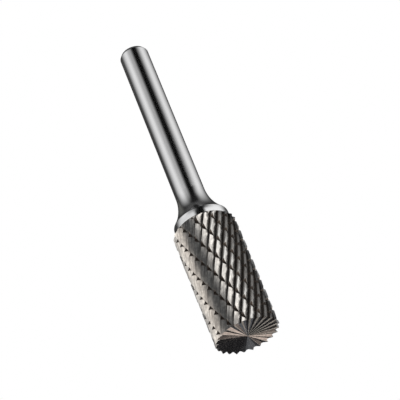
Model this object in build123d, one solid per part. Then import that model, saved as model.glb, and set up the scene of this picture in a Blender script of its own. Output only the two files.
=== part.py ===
from build123d import *
import os
from math import acos, atan, atan2, cos, degrees, pi, radians, sin, tan

# Cylindrical carbide burr with an end cut, on a round steel shank. Millimetres.
# It stands on its cutting end: the origin is the centre of the end face, and +Z runs up the axis
# of rotation to the rear end of the shank.

# Overall
total_length = 70.0

# Cutting head
head_diameter = 12.7
head_length = 25.0
head_back_chamfer = 0.65  # along the axis, from the tooth tips in to the collar's edge

# Right-hand flutes: each tooth has a sloping back, then a steep cutting face down to its gullet
flute_count = 24
flute_lead = 87.0
flute_depth = 0.8
flute_back_share = 0.75  # of the angle from one cutting edge to the next

# Left-hand chip-breaker grooves, of V section
breaker_count = 12
breaker_lead = 76.6
breaker_depth = 0.6
breaker_angle = 78.0  # between the two walls
breaker_start = 12.5  # angle of the first groove at the end face

# Radial teeth on the end face
end_tooth_depth = 0.25  # at the rim
end_back_share = 0.5  # of the angle from one end tooth's edge to the next

# Steel shank with its flared neck and collar
shank_diameter = 6.0
collar_diameter = 11.1
collar_length = 1.5
neck_radius = 10.0
rear_chamfer_length = 0.75
rear_chamfer_depth = 0.5

# How far the tool that cuts each form reaches past the metal it cuts
overcut = 1.0

head_radius = head_diameter / 2
shank_radius = shank_diameter / 2
collar_radius = collar_diameter / 2
tooth_pitch = 360.0 / flute_count
gullet_angle = flute_back_share * tooth_pitch


def polar(radius, angle, height=0.0):
    """A point by its distance from the axis, its angle round it and its height."""
    return Vector(radius * cos(radians(angle)), radius * sin(radians(angle)), height)


def twisted(points, low, high, lead):
    """A prism of the closed section, twisted one turn in each lead, left-handed if lead is negative."""
    turn_per_mm = 360.0 / lead
    section = Wire.make_polygon(points, close=True)
    section = section.rotate(Axis.Z, turn_per_mm * low).moved(Location((0, 0, low)))
    height = high - low
    return Solid.extrude_linear_with_rotation(section, (0, 0, low), (0, 0, height), turn_per_mm * height)


def fluted_blank():
    """The head's blank with its teeth, still too long at the end face."""
    points = []
    for tooth in range(flute_count):
        edge = tooth * tooth_pitch
        points += [polar(head_radius, edge), polar(head_radius - flute_depth, edge + gullet_angle)]
    return twisted(points, -overcut, head_length, flute_lead)


def breaker_grooves():
    """Cutters for the chip-breaker grooves, one twisted wedge each."""
    root_radius = head_radius - breaker_depth
    outer_radius = head_radius + overcut
    helix_angle = atan(2 * pi * head_radius / breaker_lead)
    half_width = (outer_radius - root_radius) * tan(radians(breaker_angle / 2)) / cos(helix_angle)
    half_angle = degrees(atan2(half_width, outer_radius))
    grooves = []
    for groove in range(breaker_count):
        middle = breaker_start + groove * 360.0 / breaker_count
        section = [
            polar(root_radius, middle),
            polar(outer_radius, middle + half_angle),
            polar(outer_radius, middle - half_angle),
        ]
        grooves.append(twisted(section, -2 * overcut, head_length + overcut, -breaker_lead))
    return grooves


def end_cutter():
    """The space under the end teeth: a fan of facets whose edges run to the centre at z = 0."""
    outer_radius = head_radius + overcut
    root_height = end_tooth_depth * outer_radius / head_radius
    centre = Vector(0, 0, 0)
    rim = []
    for tooth in range(flute_count):
        edge = tooth * tooth_pitch
        root = edge + end_back_share * tooth_pitch
        rim += [polar(outer_radius, edge), polar(outer_radius, root, root_height)]
    floor = [Vector(point.X, point.Y, -2 * overcut) for point in rim]
    faces = [Face(Wire.make_polygon(floor, close=True))]
    for here in range(len(rim)):
        there = (here + 1) % len(rim)
        faces.append(Face(Wire.make_polygon([centre, rim[here], rim[there]], close=True)))
        wall = [rim[here], rim[there], floor[there], floor[here]]
        faces.append(Face(Wire.make_polygon(wall, close=True)))
    return Solid(Shell(faces))


def back_bevel_cutter():
    """The turned space outside the bevel that runs from the teeth down to the collar."""
    slope = head_back_chamfer / (head_radius - collar_radius)
    outer_radius = head_radius + overcut
    bevel_foot = head_length - slope * (outer_radius - collar_radius)
    outline = [
        Vector(collar_radius, 0, head_length),
        Vector(outer_radius, 0, bevel_foot),
        Vector(outer_radius, 0, head_length + overcut),
        Vector(collar_radius, 0, head_length + overcut),
    ]
    return Solid.revolve(Face(Wire.make_polygon(outline, close=True)), 360, Axis.Z)


def cutting_head():
    """Carbide head: a toothed blank, trimmed at both ends, then crossed by the chip breakers."""
    trimmed = fluted_blank() - [back_bevel_cutter(), end_cutter()]
    return trimmed - breaker_grooves()


def shank():
    """Steel shank: collar against the head, flared neck, plain cylinder and chamfered rear end."""
    neck_turn = acos((shank_radius + neck_radius - collar_radius) / neck_radius)
    neck_start = head_length + collar_length
    neck_end = neck_start + neck_radius * sin(neck_turn)
    # One cubic follows the neck's arc: its surface takes fewer facets than a torus does
    handle = neck_radius * tan(neck_turn / 4) * 4 / 3
    neck = [
        (collar_radius, neck_start),
        (collar_radius - handle * sin(neck_turn), neck_start + handle * cos(neck_turn)),
        (shank_radius, neck_end - handle),
        (shank_radius, neck_end),
    ]
    rear_end = [
        (shank_radius, total_length - rear_chamfer_length),
        (shank_radius - rear_chamfer_depth, total_length),
        (0, total_length),
    ]
    with BuildPart() as made:
        with BuildSketch(Plane.XZ):
            with BuildLine():
                Polyline((0, head_length), (collar_radius, head_length), neck[0])
                Bezier(*neck)
                Polyline(neck[-1], *rear_end, (0, head_length))
            make_face()
        revolve(axis=Axis.Z)
    return made.part.solid()


os.makedirs("parts", exist_ok=True)
for name, piece in (("cutting_head", cutting_head()), ("shank", shank())):
    piece.label = name
    export_step(piece, f"parts/{name}.step")
    print(name, "volume", round(piece.volume, 1), "valid", piece.is_valid, "faces", len(piece.faces()))
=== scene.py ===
import math

import bpy
from mathutils import Matrix, Vector


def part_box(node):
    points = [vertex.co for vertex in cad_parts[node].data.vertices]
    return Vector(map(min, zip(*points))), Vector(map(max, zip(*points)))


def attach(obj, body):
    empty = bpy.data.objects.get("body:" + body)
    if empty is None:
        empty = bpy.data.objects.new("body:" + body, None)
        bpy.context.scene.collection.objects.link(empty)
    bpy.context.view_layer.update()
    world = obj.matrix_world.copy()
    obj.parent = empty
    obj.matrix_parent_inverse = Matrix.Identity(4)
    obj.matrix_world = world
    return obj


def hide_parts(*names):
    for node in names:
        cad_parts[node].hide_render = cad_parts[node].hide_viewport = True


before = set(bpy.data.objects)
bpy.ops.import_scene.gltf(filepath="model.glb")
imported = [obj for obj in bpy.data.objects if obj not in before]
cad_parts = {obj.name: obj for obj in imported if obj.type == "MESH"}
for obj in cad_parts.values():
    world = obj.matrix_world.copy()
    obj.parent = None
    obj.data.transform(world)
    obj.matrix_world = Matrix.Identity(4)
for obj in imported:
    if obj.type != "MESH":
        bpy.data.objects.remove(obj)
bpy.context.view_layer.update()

# Carbide burr: camera, studio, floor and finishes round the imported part. It stands on its cutting end at
# z = 0, with its axis on +Z. Metres, unless a name ends in _MM, _DEG or _PX.

MM = 0.001


def grey(level):
    return (level, level, level)


# Camera: it looks up at the cutting end from below, rolled so that the shank leans to the left.
IMAGE_WIDTH_PX = 400
FOCAL_LENGTH_PX = 1664.945
SENSOR_WIDTH_MM = 36.0
CAMERA_DISTANCE = 0.276007  # in front of the axis
CAMERA_HEIGHT = -0.137834  # from the cutting end, so below it
CAMERA_YAW = 0.004937  # radians, to the right
CAMERA_PITCH = 0.549329  # radians, upwards
CAMERA_ROLL = -0.388114  # radians
CLIP_NEAR = 0.01
CLIP_FAR = 20.0

# Studio that the metal reflects: walls with soft stops of (degrees round the axis, colour). The degrees
# start at the camera's side and grow to its right. The shank shows the upper walls, the collar the middle
# ones and the teeth the lower ones.
UPPER_WALLS = (
    (-180, grey(0.04)),
    (-122, grey(0.05)),
    (-58, grey(1.18)),
    (-22, grey(0.60)),
    (8, grey(0.0)),
    (28, grey(0.0)),
    (84, grey(1.16)),
    (160, grey(0.05)),
)
MIDDLE_WALLS = (
    (-180, grey(0.02)),
    (-118, grey(0.06)),
    (-76, grey(1.02)),
    (-18, grey(1.12)),
    (-2, grey(0.0)),
    (24, grey(0.0)),
    (40, grey(1.34)),
    (94, grey(1.36)),
    (140, grey(0.10)),
)
LOWER_WALLS = (
    (-180, grey(0.02)),
    (-120, grey(0.03)),
    (-104, grey(0.12)),
    (-86, grey(0.78)),
    (-56, (1.32, 1.28, 1.22)),
    (-32, (1.12, 1.06, 1.00)),
    (-4, (0.035, 0.04, 0.045)),
    (30, (0.02, 0.027, 0.033)),
    (72, (1.78, 1.76, 1.73)),
    (98, (1.60, 1.63, 1.65)),
    (128, (0.72, 0.74, 0.76)),
    (154, (0.05, 0.06, 0.07)),
)
# Elevations between which one part of the studio turns into the next
LOWER_TO_DEG = 14.0
MIDDLE_FROM_DEG = 24.0
MIDDLE_TO_DEG = 30.5
UPPER_FROM_DEG = 33.0
CEILING_FROM_DEG = 36.0
CEILING_TO_DEG = 85.0
CEILING_SHARE = 0.06  # of the walls' brightness, left overhead
CEILING_LEVEL = 0.01  # added to that
GROUND_FROM_DEG = -10.0
GROUND_TO_DEG = -30.0
GROUND_COLOR = (0.80, 0.80, 0.79)
# Round patches laid over the rest: ((degrees round the axis, elevation), radius, softness, colour), sizes in
# degrees, and each over the ones before it. The end teeth show the first four, the teeth at the right rim
# the fifth, and the neck the last two.
PATCHES = (
    ((180.0, -25.0), 48.0, 8.0, (0.010, 0.010, 0.013)),
    ((160.0, -42.0), 9.0, 6.0, (0.95, 0.81, 0.74)),
    ((166.0, -19.0), 7.0, 5.0, (0.15, 0.16, 0.18)),
    ((-165.0, -21.0), 6.0, 4.0, (0.15, 0.16, 0.18)),
    ((34.0, 74.0), 14.0, 12.0, grey(0.012)),
    ((180.0, 78.0), 15.0, 8.0, grey(0.11)),
    ((-137.0, 50.0), 12.0, 7.0, (0.15, 0.15, 0.14)),
)
BACKDROP_COLOR = grey(1.0)  # what the camera sees behind the object
EVEN_LIGHT = grey(1.0)  # what lights all that isn't mirror-like

FLOOR_REACH = 3.0  # on each side of the object
FLOOR_GAP_MM = 0.02  # below the cutting end
FLOOR_COLOR = grey(0.97)

# The shank's outline, as in the part
SHANK_RADIUS_MM = 3.0
COLLAR_RADIUS_MM = 5.55
COLLAR_LENGTH_MM = 1.5
NECK_RADIUS_MM = 10.0
REAR_CHAMFER_LENGTH_MM = 0.75
REAR_CHAMFER_DEPTH_MM = 0.5
# Its finer form in this scene: how far from each corner the rounding starts, and how fine the mesh is
FOOT_ROUND_MM = 0.06
COLLAR_ROUND_MM = 0.2
REAR_ROUND_MM = 0.15
ROUND_STEPS = 6
NECK_STEPS = 24
SHANK_SEGMENTS = 192
SHARP_FROM_DEG = 35.0  # edges that turn by more are shaded sharp

# The head's teeth, as in the part
HEAD_RADIUS_MM = 6.35
FLUTE_COUNT = 24
FLUTE_LEAD_MM = 87.0
FLUTE_DEPTH_MM = 0.8
FLUTE_BACK_SHARE = 0.75
BREAKER_COUNT = 12
BREAKER_LEAD_MM = 76.6
BREAKER_START_DEG = 12.5

# Polished steel, with noise scales per millimetre
STEEL_DARK = (0.58, 0.58, 0.585)
STEEL_LIGHT = grey(0.63)
STEEL_CLOUD_SCALE = 0.35
STEEL_ROUGHNESS = (0.07, 0.14)
TURNING_SCALE = 14.0  # along the axis
TURNING_FACE_SCALE = 3.0  # out from the axis
TURNING_DEPTH_MM = 0.01
TURNING_STRENGTH = 0.05

# Ground carbide: colours
BACK_DARK = (0.53, 0.51, 0.485)
BACK_LIGHT = (0.78, 0.745, 0.70)
BACK_LINE = (0.38, 0.36, 0.34)
# Painted shade: the tooth backs darken towards the gullets, where shade falls
GULLET_SHADE_DARK = (0.08, 0.066, 0.057)
GULLET_SHADE_LIGHT = (0.19, 0.16, 0.14)
# Painted shade: the flute walls are a darker copy of the carbide, darkest at their foot
WALL_SHADE_TOP = grey(0.42)
WALL_SHADE_FOOT = (0.045, 0.040, 0.036)
TRAIL_COLOR = (0.16, 0.125, 0.105)
TRAIL_STRENGTH = 0.42
# Painted shade: the inside of the breaker grooves, where shade falls
BREAKER_SHADE_DARK = (0.055, 0.045, 0.038)
BREAKER_SHADE_LIGHT = (0.13, 0.107, 0.092)
# Lighter, rougher lands on the end teeth's edges: partly their own finish, partly a painted highlight
LAND_AND_GLINT_COLOR = (0.84, 0.79, 0.71)

# Ground carbide: where a look starts and where it is full
CLOUD_STEP = (0.35, 0.65)  # of the clouds' noise
LINE_STEP = (0.58, 0.36)  # of the lines' noise
GULLET_SHADE_STEP = (0.87, 0.97)  # painted shade near the gullet, as a share of a tooth back's width, from its edge
WALL_STEP = (FLUTE_BACK_SHARE - 0.02, FLUTE_BACK_SHARE + 0.02)  # share of the flutes' pitch
WALL_SHADE_FOOT_STEP = (0.75, 0.40)  # painted shade at a wall's foot, as a share of the wall's height
TRAIL_STEP = (0.085, 0.045)  # from a breaker groove's middle, as a share of the grooves' pitch
BREAKER_STEP_MM = (0.05, 0.10)  # below the teeth
END_STEP = (-0.75, -0.85)  # of the normal's z
END_HEIGHT_MM = 0.4
LAND_STEP = (0.03, -0.01)  # past a land's border, as a share of the end teeth's pitch

# The end teeth's lands are widest on one side, a painted highlight that makes their lines brighter there.
LAND_GLINT_LEAN_DEG = -35.0
LAND_LEAST = -0.045  # half a land's width as a share of the end teeth's pitch, and below 0 there is none
LAND_MOST = 0.17

# Ground carbide: noise, with scales per millimetre, and roughness
CLOUD_SCALE = 1.6
LINES_PER_TOOTH = 7.0
LINES_ALONG_SCALE = 0.3
END_LINES_PER_TURN = 260.0
END_LINES_ALONG_SCALE = 0.25
END_LINES_AWAY = 3.0  # keeps them apart from the side's lines in the noise
END_LINES_SHARE = 0.3  # of the side lines' depth
LINE_DEPTH_MM = 0.02
LINE_STRENGTH = 0.15
BACK_BULGE_MM = 0.03  # of a tooth's back between its edge and its gullet
BACK_ROUGHNESS = (0.26, 0.34)
END_ROUGHNESS = (0.11, 0.17)
LAND_ROUGHNESS = 0.42
WALL_ROUGHNESS = 0.30
BREAKER_ROUGHNESS = 0.45


class Value:
    """A number worked out by shader nodes. Each sign of arithmetic adds the node for it."""

    def __init__(self, nodes, socket):
        self.nodes = nodes
        self.socket = socket

    def __add__(self, other):
        return self.nodes.math("ADD", self, other)

    def __sub__(self, other):
        return self.nodes.math("SUBTRACT", self, other)

    def __rsub__(self, other):
        return self.nodes.math("SUBTRACT", other, self)

    def __mul__(self, other):
        return self.nodes.math("MULTIPLY", self, other)

    def __truediv__(self, other):
        return self.nodes.math("DIVIDE", self, other)


class Nodes:
    """Adds and joins shader nodes. Numbers come back as a Value, vectors and colours as a socket.

    A Mix node has a pair of inputs for each kind of data: 2 and 3 are for numbers, 4 and 5 for vectors, and
    6 and 7 for colours.
    """

    def __init__(self, tree):
        self.tree = tree

    def put(self, socket, value):
        if isinstance(value, Value):
            value = value.socket
        if isinstance(value, bpy.types.NodeSocket):
            self.tree.links.new(value, socket)
        else:
            socket.default_value = value

    def add(self, kind, inputs=None, **settings):
        made = self.tree.nodes.new(kind)
        for name, value in settings.items():
            setattr(made, name, value)
        for name, value in (inputs or {}).items():
            self.put(made.inputs[name], value)
        return made

    def math(self, operation, *values):
        made = self.add("ShaderNodeMath", dict(enumerate(values)), operation=operation)
        return Value(self, made.outputs[0])

    def smooth(self, value, low, high):
        """0 at low, 1 at high, and a soft step between."""
        inputs = {"Value": value, "From Min": low, "From Max": high}
        made = self.add("ShaderNodeMapRange", inputs, interpolation_type="SMOOTHSTEP")
        return Value(self, made.outputs["Result"])

    def scale(self, value, low, high):
        """A value from 0 to 1, stretched to run from low to high."""
        made = self.add("ShaderNodeMapRange", {"Value": value, "To Min": low, "To Max": high})
        return Value(self, made.outputs["Result"])

    def blend(self, factor, first, second):
        """A number that goes from first to second with factor."""
        made = self.add("ShaderNodeMix", {0: factor, 2: first, 3: second}, data_type="FLOAT")
        return Value(self, made.outputs[0])

    def blend_vectors(self, factor, first, second):
        made = self.add("ShaderNodeMix", {0: factor, 4: first, 5: second}, data_type="VECTOR")
        return made.outputs[1]

    def tint(self, factor, first, second):
        """A colour that goes from first to second with factor."""
        made = self.add("ShaderNodeMix", {0: factor}, data_type="RGBA")
        for socket, colour in ((made.inputs[6], first), (made.inputs[7], second)):
            self.put(socket, colour if isinstance(colour, bpy.types.NodeSocket) else (*colour, 1))
        return made.outputs[2]

    def ramp(self, place, stops):
        """Soft colours round the whole circle, from stops of (degrees, colour). Place goes from 0 to 1."""
        made = self.add("ShaderNodeValToRGB", {"Fac": place})
        made.color_ramp.interpolation = "EASE"
        elements = made.color_ramp.elements  # two, to start with
        for count, (degrees, colour) in enumerate(stops):
            position = degrees / 360 + 0.5
            stop = elements[count] if count < 2 else elements.new(position)
            stop.position = position
            stop.color = (*colour, 1)
        return made.outputs["Color"]

    def noise(self, place, scale, detail=2.0, roughness=0.5):
        inputs = {"Vector": place, "Scale": scale, "Detail": detail, "Roughness": roughness}
        return Value(self, self.add("ShaderNodeTexNoise", inputs).outputs["Fac"])

    def join(self, x, y, z):
        return self.add("ShaderNodeCombineXYZ", {"X": x, "Y": y, "Z": z}).outputs[0]

    def split(self, vector):
        parts = self.add("ShaderNodeSeparateXYZ", {"Vector": vector})
        return [Value(self, socket) for socket in parts.outputs]

    def stretch(self, vector, factor):
        inputs = {"Vector": vector, "Scale": factor}
        return self.add("ShaderNodeVectorMath", inputs, operation="SCALE").outputs["Vector"]

    def bump(self, height, distance, strength=1.0, normal=None):
        inputs = {"Height": height, "Distance": distance, "Strength": strength}
        if normal is not None:
            inputs["Normal"] = normal
        return self.add("ShaderNodeBump", inputs).outputs["Normal"]


class Metal(Nodes):
    """A bare metal, with a point's place in millimetres and its radius, angle and height on the axis."""

    def __init__(self, name):
        self.material = bpy.data.materials.new(name)
        self.material.use_nodes = True
        super().__init__(self.material.node_tree)
        self.shader = self.tree.nodes["Principled BSDF"]
        self.shader.inputs["Metallic"].default_value = 1.0
        self.place = self.stretch(self.add("ShaderNodeTexCoord").outputs["Object"], 1 / MM)
        x, y, self.z = self.split(self.place)
        self.radius = self.math("SQRT", x * x + y * y)
        self.angle = self.math("ARCTAN2", y, x)
        self.turns = self.angle / (2 * math.pi)

    def finish(self, colour, roughness, normal):
        self.put(self.shader.inputs["Base Color"], colour)
        self.put(self.shader.inputs["Roughness"], roughness)
        self.put(self.shader.inputs["Normal"], normal)
        return self.material


def add_object(name, data):
    made = bpy.data.objects.new(name, data)
    bpy.context.scene.collection.objects.link(made)
    return made


def make_camera():
    data = bpy.data.cameras.new("camera")
    data.sensor_width = SENSOR_WIDTH_MM
    data.lens = FOCAL_LENGTH_PX / IMAGE_WIDTH_PX * SENSOR_WIDTH_MM
    data.clip_start = CLIP_NEAR
    data.clip_end = CLIP_FAR
    level = math.cos(CAMERA_PITCH)
    forward = Vector((math.sin(CAMERA_YAW) * level, math.cos(CAMERA_YAW) * level, math.sin(CAMERA_PITCH)))
    level_right = forward.cross(Vector((0, 0, 1))).normalized()
    level_up = level_right.cross(forward)
    right = level_right * math.cos(CAMERA_ROLL) + level_up * math.sin(CAMERA_ROLL)
    up = level_up * math.cos(CAMERA_ROLL) - level_right * math.sin(CAMERA_ROLL)
    camera = add_object("camera", data)
    turn = Matrix((right, up, -forward)).transposed()
    camera.matrix_world = Matrix.Translation((0, -CAMERA_DISTANCE, CAMERA_HEIGHT)) @ turn.to_4x4()
    bpy.context.scene.camera = camera


def studio_walls(n, place, elevation):
    """The three rings of walls, which fade towards the ceiling."""
    above_lower = n.smooth(elevation, LOWER_TO_DEG, MIDDLE_FROM_DEG)
    above_middle = n.smooth(elevation, MIDDLE_TO_DEG, UPPER_FROM_DEG)
    walls = n.tint(above_lower, n.ramp(place, LOWER_WALLS), n.ramp(place, MIDDLE_WALLS))
    walls = n.tint(above_middle, walls, n.ramp(place, UPPER_WALLS))
    up = n.smooth(elevation, CEILING_FROM_DEG, CEILING_TO_DEG)
    faded = n.stretch(walls, n.scale(up, 1.0, CEILING_SHARE))
    return n.add("ShaderNodeVectorMath", {0: faded, 1: up * CEILING_LEVEL}, operation="ADD").outputs[0]


def inside_patch(n, direction, centre_deg, radius, softness):
    """1 inside a round patch of the studio, and 0 outside."""
    around, up = (math.radians(degrees) for degrees in centre_deg)
    centre = (math.sin(around) * math.cos(up), -math.cos(around) * math.cos(up), math.sin(up))
    towards = n.add("ShaderNodeVectorMath", {0: direction, 1: centre}, operation="DOT_PRODUCT")
    away = n.math("DEGREES", n.math("ARCCOSINE", towards.outputs["Value"]))
    return n.smooth(away, radius + softness, radius - softness)


def make_studio():
    """White behind the object, walls, ground and patches for its reflections, and an even light."""
    world = bpy.data.worlds.new("studio")
    bpy.context.scene.world = world
    world.use_nodes = True
    n = Nodes(world.node_tree)
    direction = n.add("ShaderNodeTexCoord").outputs["Generated"]
    x, y, z = n.split(direction)
    place = n.math("ARCTAN2", x, y * -1.0) / (2 * math.pi) + 0.5
    elevation = n.math("DEGREES", n.math("ARCSINE", z))
    studio = studio_walls(n, place, elevation)
    studio = n.tint(n.smooth(elevation, GROUND_FROM_DEG, GROUND_TO_DEG), studio, GROUND_COLOR)
    for centre_deg, radius, softness, colour in PATCHES:
        studio = n.tint(inside_patch(n, direction, centre_deg, radius, softness), studio, colour)
    path = n.add("ShaderNodeLightPath")
    shown = n.tint(path.outputs["Is Glossy Ray"], EVEN_LIGHT, studio)
    shown = n.tint(path.outputs["Is Camera Ray"], shown, BACKDROP_COLOR)
    background = world.node_tree.nodes["Background"]
    n.put(background.inputs["Color"], shown)
    background.inputs["Strength"].default_value = 1.0


def make_floor():
    """A pale floor, seen only from above: the photo's camera looks up through it."""
    mesh = bpy.data.meshes.new("floor")
    corners = [(x * FLOOR_REACH, y * FLOOR_REACH, 0) for x, y in ((-1, -1), (1, -1), (1, 1), (-1, 1))]
    mesh.from_pydata(corners, [], [(0, 1, 2, 3)])
    floor = add_object("floor", mesh)
    floor.location.z = -FLOOR_GAP_MM * MM
    material = bpy.data.materials.new("floor")
    material.use_nodes = True
    n = Nodes(material.node_tree)
    n.tree.nodes.clear()
    paint = n.add("ShaderNodeBsdfDiffuse", {"Color": (*FLOOR_COLOR, 1)})
    clear = n.add("ShaderNodeBsdfTransparent")
    camera_ray = n.add("ShaderNodeLightPath").outputs["Is Camera Ray"]
    above = n.math("SUBTRACT", 1.0, n.add("ShaderNodeNewGeometry").outputs["Backfacing"])
    inputs = {0: above * camera_ray, 1: clear.outputs[0], 2: paint.outputs[0]}
    mix = n.add("ShaderNodeMixShader", inputs)
    n.add("ShaderNodeOutputMaterial", {"Surface": mix.outputs[0]})
    mesh.materials.append(material)


def steel_finish():
    """Polished turned steel with faint lines round it."""
    m = Metal("polished_steel")
    rings_at = m.join(m.radius * TURNING_FACE_SCALE, 0.0, m.z * TURNING_SCALE)
    rings = m.noise(rings_at, 1.0, detail=3.0, roughness=0.6)
    colour = m.tint(m.noise(m.place, STEEL_CLOUD_SCALE), STEEL_DARK, STEEL_LIGHT)
    normal = m.bump(rings, TURNING_DEPTH_MM * MM, TURNING_STRENGTH)
    return m.finish(colour, m.scale(rings, *STEEL_ROUGHNESS), normal)


def below_teeth(m, along_back, up_wall):
    """Depth of a point below the teeth's surface, in millimetres, which only a breaker groove has."""
    back_radius = HEAD_RADIUS_MM - along_back * FLUTE_DEPTH_MM
    wall_radius = up_wall * FLUTE_DEPTH_MM + (HEAD_RADIUS_MM - FLUTE_DEPTH_MM)
    return m.math("MAXIMUM", back_radius, wall_radius) - m.radius


def off_middle(m, value):
    """How far a value is from the middle between two whole numbers."""
    return m.math("ABSOLUTE", m.math("FRACT", value) - 0.5)


def breaker_trails(m):
    """The breaker grooves' middles, carried on across the whole of each tooth's back."""
    start = BREAKER_START_DEG / 360 - 0.5 / BREAKER_COUNT
    grooves = (m.turns - start) * BREAKER_COUNT + m.z * (BREAKER_COUNT / BREAKER_LEAD_MM)
    return m.smooth(off_middle(m, grooves), *TRAIL_STEP) * TRAIL_STRENGTH


def end_lands(m, on_end):
    """The lands along the end teeth's edges, widened on one side as a painted highlight."""
    lean = m.math("COSINE", m.angle - math.radians(LAND_GLINT_LEAN_DEG))
    half_width = m.scale(lean * 0.5 + 0.5, LAND_LEAST, LAND_MOST)
    off_edge = off_middle(m, m.turns * FLUTE_COUNT + 0.5)
    return m.smooth(off_edge - half_width, *LAND_STEP) * on_end


def grinding_lines(m, teeth, on_end):
    """Noise drawn out along the flutes on the side, and along the teeth on the end."""
    side_lines = m.join(teeth * LINES_PER_TOOTH, m.z * LINES_ALONG_SCALE, 0.0)
    end_lines = m.join(m.turns * END_LINES_PER_TURN, m.radius * END_LINES_ALONG_SCALE, END_LINES_AWAY)
    return m.noise(m.blend_vectors(on_end, side_lines, end_lines), 1.0, detail=3.0, roughness=0.65)


def carbide_finish():
    """Ground carbide: bright tooth backs with lines along the flutes, and rough grooves with painted shade.
    """
    m = Metal("ground_carbide")
    teeth = m.turns * FLUTE_COUNT - m.z * (FLUTE_COUNT / FLUTE_LEAD_MM)
    phase = m.math("FRACT", teeth)
    along_back = phase / FLUTE_BACK_SHARE
    up_wall = (phase - FLUTE_BACK_SHARE) / (1 - FLUTE_BACK_SHARE)
    on_wall = m.smooth(phase, *WALL_STEP)
    in_breaker = m.smooth(below_teeth(m, along_back, up_wall), *BREAKER_STEP_MM)
    normal_z = m.split(m.add("ShaderNodeTexCoord").outputs["Normal"])[2]
    on_end = m.smooth(normal_z, *END_STEP) * m.math("LESS_THAN", m.z, END_HEIGHT_MM)
    on_side = 1.0 - on_end
    on_land_and_glint = end_lands(m, on_end)
    lines = grinding_lines(m, teeth, on_end)

    clouds = m.smooth(m.noise(m.place, CLOUD_SCALE, detail=3.0), *CLOUD_STEP)
    back = m.tint(clouds, BACK_DARK, BACK_LIGHT)
    back = m.tint(m.smooth(lines, *LINE_STEP), back, BACK_LINE)
    # painted shade on the tooth backs towards the gullets
    gullet_shade = m.tint(lines, GULLET_SHADE_DARK, GULLET_SHADE_LIGHT)
    # painted shade on the flute walls, darkest at their foot
    wall_shade = m.tint(m.smooth(up_wall, *WALL_SHADE_FOOT_STEP), WALL_SHADE_TOP, WALL_SHADE_FOOT)
    side = m.tint(m.smooth(along_back, *GULLET_SHADE_STEP), back, gullet_shade)
    side = m.tint(on_wall, side, wall_shade)
    side = m.tint(breaker_trails(m), side, TRAIL_COLOR)
    # painted shade inside the breaker grooves
    side = m.tint(in_breaker, side, m.tint(lines, BREAKER_SHADE_DARK, BREAKER_SHADE_LIGHT))
    # the end teeth's lands, partly a painted highlight
    colour = m.tint(on_end, side, m.tint(on_land_and_glint, back, LAND_AND_GLINT_COLOR))

    roughness = m.blend(on_end, m.scale(lines, *BACK_ROUGHNESS), m.scale(lines, *END_ROUGHNESS))
    roughness = m.blend(on_land_and_glint, roughness, LAND_ROUGHNESS)
    deep_roughness = m.blend(in_breaker, WALL_ROUGHNESS, BREAKER_ROUGHNESS)
    roughness = m.blend(on_side * m.math("MAXIMUM", on_wall, in_breaker), roughness, deep_roughness)

    bulge = m.math("MAXIMUM", along_back * (1.0 - along_back) * 4.0, 0.0)
    normal = m.bump(bulge * on_side, BACK_BULGE_MM * MM)
    scored = lines * m.scale(on_end, 1.0, END_LINES_SHARE)
    normal = m.bump(scored, LINE_DEPTH_MM * MM, LINE_STRENGTH, normal)
    return m.finish(colour, roughness, normal)


def softened(before, corner, after, reach):
    """A corner of the outline rounded off, starting and ending at reach from it."""
    start = corner + (before - corner).normalized() * reach
    end = corner + (after - corner).normalized() * reach
    points = []
    for step in range(ROUND_STEPS + 1):
        t = step / ROUND_STEPS
        points.append(start * (1 - t) ** 2 + corner * (2 * t * (1 - t)) + end * t**2)
    return points


def neck_arc(foot):
    """The neck's hollow curve, from just above the collar's upper edge at height foot up to the shank."""
    turn = math.acos((SHANK_RADIUS_MM + NECK_RADIUS_MM - COLLAR_RADIUS_MM) / NECK_RADIUS_MM)
    top = foot + NECK_RADIUS_MM * math.sin(turn)
    points = []
    for step in range(1, NECK_STEPS + 1):
        left = turn * (1 - step / NECK_STEPS)
        radius = SHANK_RADIUS_MM + NECK_RADIUS_MM * (1 - math.cos(left))
        points.append(Vector((radius, top - NECK_RADIUS_MM * math.sin(left))))
    return points


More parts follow.
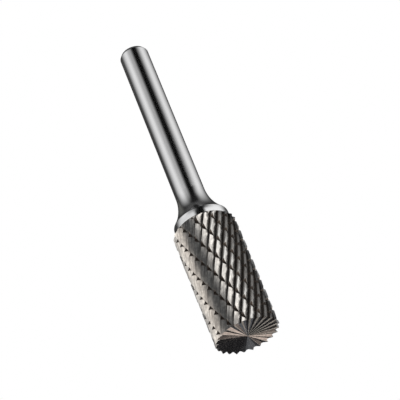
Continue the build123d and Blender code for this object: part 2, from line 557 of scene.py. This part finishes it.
def shank_outline():
    """Radius and height in millimetres, from the collar's lower face to the rear end."""
    low, high = (Vector(corner).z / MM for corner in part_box("shank"))
    neck = neck_arc(low + COLLAR_LENGTH_MM)
    foot = Vector((0, low))
    foot_edge = Vector((COLLAR_RADIUS_MM, low))
    collar_edge = Vector((COLLAR_RADIUS_MM, low + COLLAR_LENGTH_MM))
    chamfer_foot = Vector((SHANK_RADIUS_MM, high - REAR_CHAMFER_LENGTH_MM))
    chamfer_top = Vector((SHANK_RADIUS_MM - REAR_CHAMFER_DEPTH_MM, high))
    top = Vector((0, high))
    outline = [foot]
    outline += softened(foot, foot_edge, collar_edge, FOOT_ROUND_MM)
    outline += softened(foot_edge, collar_edge, neck[0], COLLAR_ROUND_MM)
    outline += neck
    outline += softened(neck[-1], chamfer_foot, chamfer_top, REAR_ROUND_MM)
    outline += softened(chamfer_foot, chamfer_top, top, REAR_ROUND_MM)
    outline.append(top)
    return outline


def turned(name, outline, segments):
    """A closed mesh turned about the Z axis. The outline starts and ends on the axis."""
    points = [(0, 0, outline[0].y * MM), (0, 0, outline[-1].y * MM)]
    first_ring = len(points)
    for corner in outline[1:-1]:
        for segment in range(segments):
            angle = 2 * math.pi * segment / segments
            points.append((corner.x * MM * math.cos(angle), corner.x * MM * math.sin(angle), corner.y * MM))
    last_ring = len(points) - segments
    faces = []
    for segment in range(segments):
        beside = (segment + 1) % segments
        faces.append((0, first_ring + beside, first_ring + segment))
        for ring in range(first_ring, last_ring, segments):
            above = ring + segments
            faces.append((ring + segment, ring + beside, above + beside, above + segment))
        faces.append((1, last_ring + segment, last_ring + beside))
    mesh = bpy.data.meshes.new(name)
    mesh.from_pydata(points, [], faces)
    mesh.shade_smooth()
    mesh.set_sharp_from_angle(angle=math.radians(SHARP_FROM_DEG))
    return add_object(name, mesh)


make_camera()
bpy.context.scene.view_settings.view_transform = "Standard"
make_studio()
make_floor()

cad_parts["cutting_head"].data.materials[0] = carbide_finish()

turned_shank = turned("turned_shank", shank_outline(), SHANK_SEGMENTS)
turned_shank.data.materials.append(steel_finish())
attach(turned_shank, "root")
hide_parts("shank")
